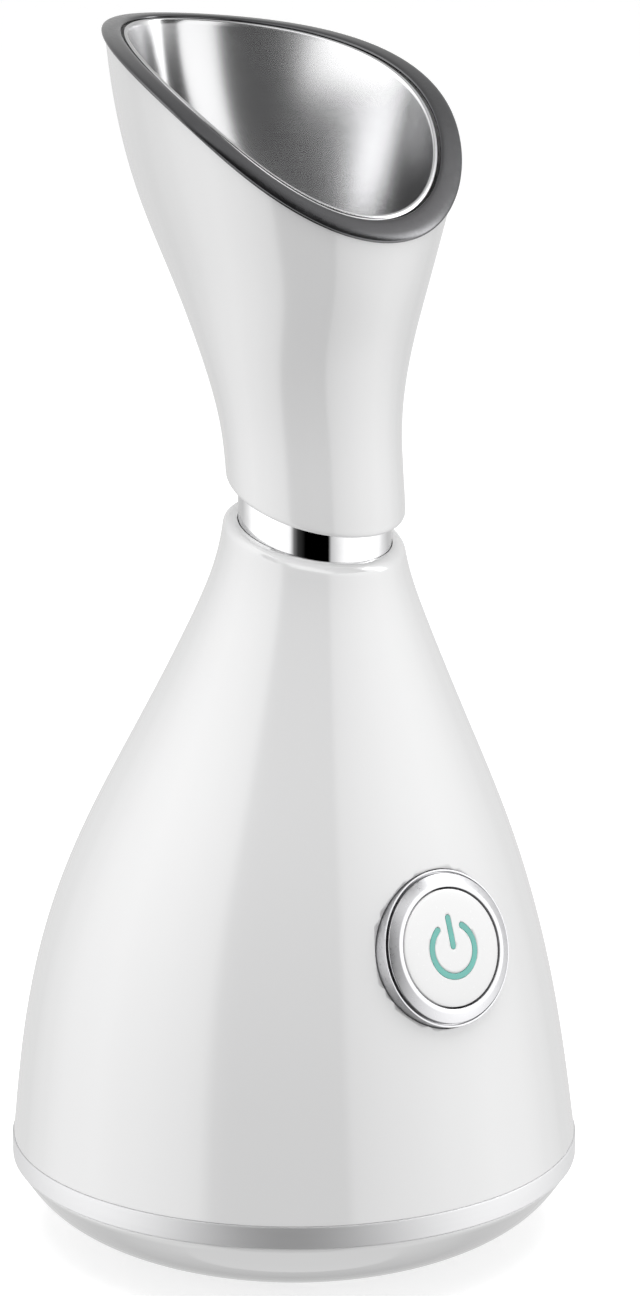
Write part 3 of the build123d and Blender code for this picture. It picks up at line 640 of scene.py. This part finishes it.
LINER_TOP = 0.4
LINER_ROUND = 0.3
floor_level = np.full(AROUND, HORN_FLOOR)
liner_rings = wall(
    HEAD,
    LINER_INSET,
    HEAD.at(ANGLES, floor_level, LINER_INSET),
    HEAD.on_end(ANGLES, LINER_INSET, RIM, LINER_TOP),
    40,
)
for step in range(1, 6):
    turn = pi * step / 6
    inset = LINER_INSET + LINER_WALL / 2 * (1 - cos(turn))
    liner_rings.append(HEAD.on_end(ANGLES, inset, RIM, LINER_TOP - LINER_ROUND * sin(turn)))
liner_rings += wall(
    HEAD,
    LINER_INSET + LINER_WALL,
    HEAD.on_end(ANGLES, LINER_INSET + LINER_WALL, RIM, LINER_TOP),
    HEAD.at(ANGLES, floor_level, LINER_INSET + LINER_WALL),
    80,
)
fit(skin("horn_steel", liner_rings, sharp_angle=50.0), HORN_STEEL, "head", "horn_liner")

# ---- button ----

# The ring's section, from the back of its outside over the groove and the crest to its bore
BEZEL_BACK = -9.0
BEZEL_LIP = -1.3
BEZEL_FACE = 0.2
GROOVE_FLOOR = -2.4
OUTER_BACK = (BEZEL_RADIUS, BEZEL_BACK)
OUTER_LIP = (BEZEL_RADIUS, BEZEL_LIP)
SHOULDER = (BEZEL_SHOULDER_RADIUS, BEZEL_LIP)
GROOVE_OUTSIDE = (BEZEL_SHOULDER_RADIUS, GROOVE_FLOOR)
GROOVE_INSIDE = (15.7, GROOVE_FLOOR)
GROOVE_EDGE = (15.7, -0.75)
CREST = (13.7, BEZEL_FACE)
FACE_MIDDLE = (12.9, BEZEL_FACE)
BORE_EDGE = (BEZEL_BORE, BEZEL_FACE)
BORE_BACK = (BEZEL_BORE, BEZEL_BACK)
BEZEL_PROFILE = [
    OUTER_BACK,
    *rounded(OUTER_BACK, OUTER_LIP, SHOULDER, 0.15, 4),
    *rounded(OUTER_LIP, SHOULDER, GROOVE_OUTSIDE, 0.12, 4),
    GROOVE_OUTSIDE,
    GROOVE_INSIDE,
    *rounded(GROOVE_INSIDE, GROOVE_EDGE, CREST, 0.25),
    *rounded(GROOVE_EDGE, CREST, FACE_MIDDLE, 0.5, 4),
    *rounded(CREST, BORE_EDGE, BORE_BACK, 0.2, 4),
    BORE_BACK,
]
bezel = place_on_button(lathe("button_ring", BEZEL_PROFILE, centre=0.0))
fit(bezel, BEZEL_METAL, "root", "button_bezel")


def ribbon(name, line, width, top, bottom):
    """A flat strip with round ends along a line of (x, y) points, between two heights."""
    line = [Vector(p) for p in line]
    sides = ([], [])
    for i, point in enumerate(line):
        way = (line[min(i + 1, len(line) - 1)] - line[max(i - 1, 0)]).normalized()
        normal = Vector((-way.y, way.x))
        sides[0].append(point + normal * width / 2)
        sides[1].append(point - normal * width / 2)
    outline = list(sides[0])
    for end, back in ((-1, False), (0, True)):
        outward = (line[end] - line[end - 1 if end else 1]).normalized()
        start = Vector((-outward.y, outward.x)).to_3d()
        for step in range(1, 10):
            turn = Matrix.Rotation(-pi * step / 10, 3, "Z")
            outline.append(line[end] + (turn @ start).to_2d() * width / 2)
        if not back:
            outline += sides[1][::-1]
    count = len(outline)
    vertices = [(p.x, p.y, top) for p in outline] + [(p.x, p.y, bottom) for p in outline]
    faces = [tuple(range(count)), tuple(range(2 * count - 1, count - 1, -1))]
    faces += [(i, i + count, (i + 1) % count + count, (i + 1) % count) for i in range(count)]
    return finish_mesh(name, vertices, faces)


GLYPH_GAP = 70  # the opening of the ring, in degrees


def glyph(name, stroke, top, bottom):
    """The open ring and bar of a power sign, its top and bottom raised to follow the dome."""
    sweep = 360 - GLYPH_GAP
    turns = [radians(90 + GLYPH_GAP / 2 + sweep * step / 60) for step in range(61)]
    ring_line = [(GLYPH_RADIUS * cos(t), GLYPH_RADIUS * sin(t) + GLYPH_RING_RISE) for t in turns]
    bar = GLYPH_BAR_LENGTH - GLYPH_STROKE
    bar_line = [(0, GLYPH_BAR_RISE - bar / 2 + bar * step / 12) for step in range(13)]
    pieces = [
        ribbon(name, ring_line, stroke, top, bottom),
        ribbon(name + "_bar", bar_line, stroke, top, bottom),
    ]
    work = bmesh.new()
    for piece in pieces:
        work.from_mesh(piece.data)
    for vertex in work.verts:
        reach = (vertex.co.x**2 + vertex.co.y**2) ** 0.5 / (CAP_RADIUS * MM)
        vertex.co.z += CAP_DOME * MM * (1 - reach**2) ** 0.5
    work.to_mesh(pieces[0].data)
    work.free()
    bpy.data.objects.remove(pieces[1])
    return pieces[0]


DOME = [(CAP_RADIUS * sin(pi * t / 48), CAP_DOME * cos(pi * t / 48)) for t in range(25)]
CAP_PROFILE = [
    *DOME,
    (CAP_RADIUS, -CAP_SKIRT),
    (CAP_SKIRT_BORE, -CAP_SKIRT),
    (CAP_SKIRT_BORE, -CAP_THICKNESS),
    (0.0, -CAP_THICKNESS),
]
GLYPH_POCKET_STROKE = GLYPH_STROKE + 0.3
cap = lathe("button_face", CAP_PROFILE, centre=0.0)
cut(cap, glyph("glyph_pocket", GLYPH_POCKET_STROKE, top=1.0, bottom=-0.6))
fit(place_on_button(cap), CAP_WHITE, "button", "button_cap")
lens = place_on_button(glyph("glyph_lens", GLYPH_STROKE, top=-0.02, bottom=-0.58))
fit(lens, TEAL, "button", "power_glyph")

# ---- floor, light and camera ----

FLOOR_SIZE = 30.0
FLOOR_GLOW = 0.31
bpy.ops.mesh.primitive_plane_add(size=FLOOR_SIZE)
floor = bpy.context.object
floor.name = "studio_floor"
floor_material, floor_nodes, floor_links, floor_shader = node_material("studio_floor")
floor_shader.inputs["Base Color"].default_value = (0.93, 0.93, 0.93, 1)
floor_shader.inputs["Roughness"].default_value = 0.6
floor_shader.inputs["Specular IOR Level"].default_value = 0.2
floor_shader.inputs["Emission Color"].default_value = (1, 1, 1, 1)
floor_shader.inputs["Emission Strength"].default_value = FLOOR_GLOW
floor.data.materials.append(floor_material)
floor.visible_glossy = floor.visible_diffuse = floor.visible_shadow = False

CAMERA_TURN = -37.5
CAMERA_RISE = 12.8
CAMERA_REACH = 0.8
TARGET = Vector((0, 0, 0.130))


def toward(turn, rise=0.0):
    """The direction from the object at a turn from -Y and a rise above the horizon, in degrees."""
    a, e = radians(turn), radians(rise)
    return Vector((sin(a) * cos(e), -cos(a) * cos(e), sin(e)))


def aim(thing, centre, turn, rise, reach):
    """Stands a thing off from a centre, with its back away from it, so that its -Z looks at it."""
    way = toward(turn, rise)
    thing.location = centre + way * reach
    thing.rotation_mode = "QUATERNION"
    thing.rotation_quaternion = way.to_track_quat("Z", "Y")


def softbox(name, turn, rise, reach, width, height, power, lights="matt"):
    """An area light that faces the object and shows on matt or on glossy surfaces."""
    lamp = bpy.data.lights.new(name, "AREA")
    lamp.shape = "RECTANGLE"
    lamp.size, lamp.size_y = width, height
    lamp.energy = power
    thing = bpy.data.objects.new(name, lamp)
    bpy.context.scene.collection.objects.link(thing)
    aim(thing, TARGET, turn, rise, reach)
    thing.visible_camera = False
    thing.visible_diffuse = lights == "matt"
    thing.visible_glossy = lights == "glossy"


softbox("top_softbox", CAMERA_TURN, rise=88, reach=1.3, width=1.4, height=1.4, power=14.0)
softbox(
    "horn_light", CAMERA_TURN + 98, rise=36, reach=1.0, width=0.20, height=0.6, power=1.9,
    lights="glossy",
)


MOUTH = Vector((0, 0.005, 0.235))
CARD_REACH = 0.18


def only_reflected(thing):
    """Make a studio piece show in reflections alone."""
    thing.visible_camera = thing.visible_diffuse = thing.visible_shadow = False


def mouth_card(name, turn, rise, width, height, glow):
    """A small card just in front of the horn's mouth, black or glowing, seen only in the horn."""
    bpy.ops.mesh.primitive_plane_add(size=1.0)
    card = bpy.context.object
    card.name = name
    card.scale = (width, height, 1.0)
    aim(card, MOUTH, CAMERA_TURN + turn, rise, CARD_REACH)
    material, nodes, links, shader = node_material(name)
    shader.inputs["Base Color"].default_value = (0.01, 0.01, 0.01, 1)
    shader.inputs["Emission Color"].default_value = (1, 1, 1, 1)
    shader.inputs["Emission Strength"].default_value = glow
    card.data.materials.append(material)
    only_reflected(card)


mouth_card("dark_card_right", turn=50, rise=45, width=0.19, height=0.20, glow=0.0)
mouth_card("dark_card_left", turn=-44, rise=20, width=0.07, height=0.12, glow=0.0)
mouth_card("pale_card", turn=8, rise=27, width=0.17, height=0.13, glow=1.8)

# A light tent round the object, seen only in reflections: dark behind the camera, brightest at
# both sides and dimmer again behind the object. Stops are degrees round from the camera's side.
TENT_STOPS = [(-180, 0.26), (-137, 0.31), (-119, 0.47), (-105, 0.70), (-85, 0.92), (-62, 0.86)]
TENT_STOPS += [(-44, 0.70), (-37, 0.58), (-31, 0.11), (-25, 0.02), (-14, 0.0), (20, 0.0)]
TENT_STOPS += [(24, 0.34), (38, 0.56), (62, 0.84), (85, 0.92), (105, 0.70), (119, 0.47)]
TENT_STOPS += [(137, 0.31), (180, 0.26)]
TENT_RADIUS = 1.2
TENT_BOTTOM = -3.0
TENT_TOP = 3.0
TENT_GLOW = 2.65
TENT_LOW_GLOW = 1.2
TENT_FADE_START = -1.5
TENT_FADE_END = -0.5
bpy.ops.mesh.primitive_cylinder_add(
    vertices=96, radius=TENT_RADIUS, depth=1.0, end_fill_type="NOTHING"
)
tent = bpy.context.object
tent.name = "light_tent"
tent.scale.z = TENT_TOP - TENT_BOTTOM
tent.location = (0, 0, (TENT_TOP + TENT_BOTTOM) / 2)
tent.rotation_euler.z = radians(CAMERA_TURN - 90)
tent_material, tent_nodes, tent_links, tent_shader = node_material("light_tent")
tent_nodes.remove(tent_shader)
tent_place = tent_nodes.new("ShaderNodeTexCoord")
tent_turn = tent_nodes.new("ShaderNodeTexGradient")
tent_turn.gradient_type = "RADIAL"
tent_ramp = tent_nodes.new("ShaderNodeValToRGB")
stops = tent_ramp.color_ramp.elements
for index, (turn, level) in enumerate(TENT_STOPS):
    position = 0.5 + turn / 360
    stop = stops[index] if index < 2 else stops.new(position)
    stop.position = position
    stop.color = (level, level, level, 1)
tent_height = tent_nodes.new("ShaderNodeSeparateXYZ")
tent_fade = tent_nodes.new("ShaderNodeMapRange")
tent_fade.inputs["From Min"].default_value = TENT_FADE_START / (TENT_TOP - TENT_BOTTOM)
tent_fade.inputs["From Max"].default_value = TENT_FADE_END / (TENT_TOP - TENT_BOTTOM)
tent_fade.inputs["To Min"].default_value = TENT_LOW_GLOW
tent_fade.inputs["To Max"].default_value = TENT_GLOW
tent_glow = tent_nodes.new("ShaderNodeEmission")
tent_links.new(tent_place.outputs["Object"], tent_height.inputs["Vector"])
tent_links.new(tent_height.outputs["Z"], tent_fade.inputs["Value"])
tent_links.new(tent_fade.outputs["Result"], tent_glow.inputs["Strength"])
tent_links.new(tent_place.outputs["Object"], tent_turn.inputs["Vector"])
tent_links.new(tent_turn.outputs["Fac"], tent_ramp.inputs["Fac"])
tent_links.new(tent_ramp.outputs["Color"], tent_glow.inputs["Color"])
tent_links.new(tent_glow.outputs["Emission"], tent_nodes["Material Output"].inputs["Surface"])
tent.data.materials.append(tent_material)
only_reflected(tent)

WORLD_GLOW = 0.74
world = bpy.data.worlds.new("studio")
world.use_nodes = True
world.node_tree.nodes["Background"].inputs["Color"].default_value = (1, 1, 1, 1)
world.node_tree.nodes["Background"].inputs["Strength"].default_value = WORLD_GLOW
bpy.context.scene.world = world
bpy.context.scene.view_settings.view_transform = "Standard"

CAMERA_LENS = 102.8
SENSOR_WIDTH = 36.0
CAMERA_SHIFT = 0.020
camera_data = bpy.data.cameras.new("camera")
camera_data.lens = CAMERA_LENS
camera_data.sensor_width = SENSOR_WIDTH
camera_data.shift_x = CAMERA_SHIFT
camera = bpy.data.objects.new("camera", camera_data)
bpy.context.scene.collection.objects.link(camera)
aim(camera, TARGET, CAMERA_TURN, CAMERA_RISE, CAMERA_REACH)
bpy.context.scene.camera = camera
